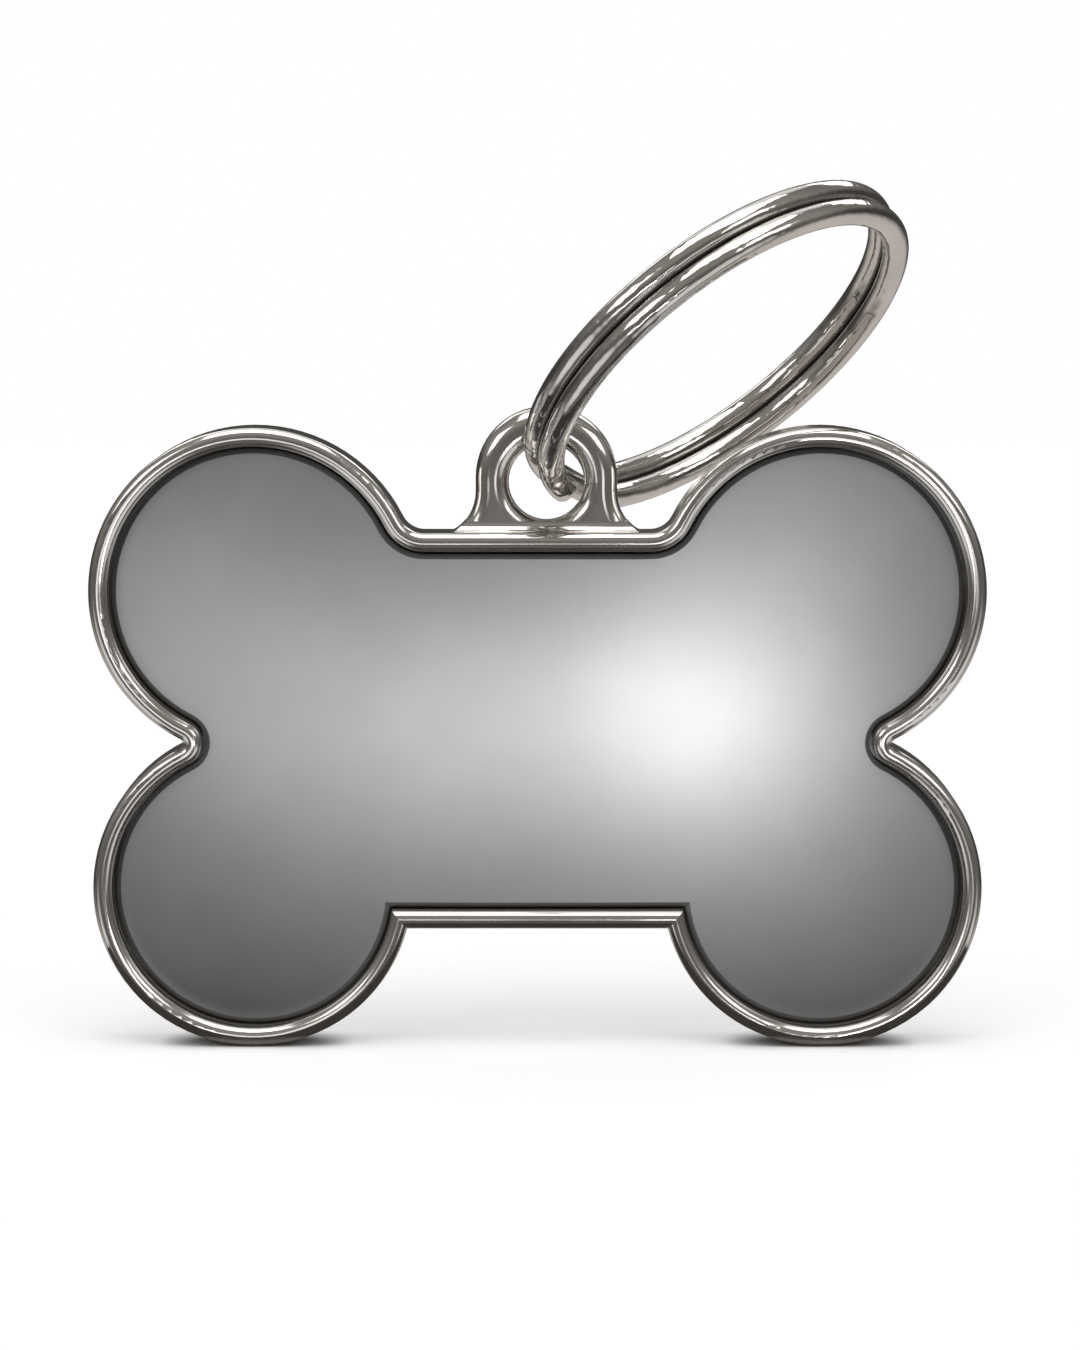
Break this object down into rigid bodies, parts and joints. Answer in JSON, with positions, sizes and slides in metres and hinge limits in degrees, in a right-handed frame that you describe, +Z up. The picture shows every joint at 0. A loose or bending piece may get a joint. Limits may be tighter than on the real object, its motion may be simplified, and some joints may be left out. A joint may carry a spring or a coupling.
{
  "type": "pet id tag",
  "caption": "Bone-shaped metal pet tag with a raised polished rim, a crowned satin face and a split ring that swings in a loop on its top edge.",
  "frame": {"origin": "on the surface it stands on, midway between the two lower lobes and midway through the tag's thickness", "axes": "+Z up from the lower lobes to the loop, +X to the right as the face is seen, +Y out of the back"},
  "size_m": [0.038, 0.0176, 0.0369],
  "materials": {
    "polished_nickel": "polished nickel plate on a zinc casting",
    "satin_plate": "satin, bead blasted",
    "ring_wire": "polished nickel plate on spring steel",
    "adhesive": "clear transfer film"
  },
  "bodies": {
    "tag": {"tag_body": "polished_nickel", "face_plate": "satin_plate", "bond_film": "adhesive"},
    "ring": {"split_ring": "ring_wire"}
  },
  "joints": [
    {"name": "ring_swing", "type": "hinge", "parent": "tag", "child": "ring", "pos_m": [0.00038, 0, 0.02415], "axis": [0, -1, 0], "range_deg": [-32, 132]}
  ]
}
